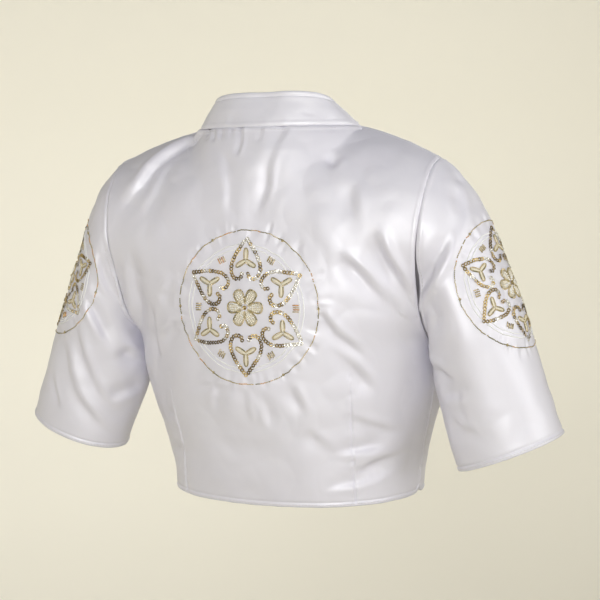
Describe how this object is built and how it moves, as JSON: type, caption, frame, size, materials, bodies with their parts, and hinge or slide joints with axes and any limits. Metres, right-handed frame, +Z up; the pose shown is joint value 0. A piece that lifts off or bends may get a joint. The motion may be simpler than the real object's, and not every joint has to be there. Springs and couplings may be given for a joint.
{
  "type": "blouse",
  "caption": "Cropped satin blouse with elbow sleeves, a stand collar over a V neck, lapped fronts and beaded round medallions.",
  "frame": {"origin": "midway between the two neck points, where the shoulder seams meet the collar", "axes": "+Z up, +X to the wearer's left, +Y to the wearer's back, so the front faces -Y"},
  "size_m": [0.5826, 0.2507, 0.4104],
  "materials": {
    "satin": "cool white satin, soft sheen",
    "collar_satin": "cool white satin, folded band",
    "thread": "white sewing and embroidery thread",
    "sequins": "pale gold sequins and cut beads",
    "pearl_beads": "cream and clear glass seed beads"
  },
  "bodies": {
    "root": {"back": "satin", "front_left": "satin", "front_right": "satin", "sleeve_left": "satin", "sleeve_right": "satin", "collar": "collar_satin"}
  },
  "joints": []
}
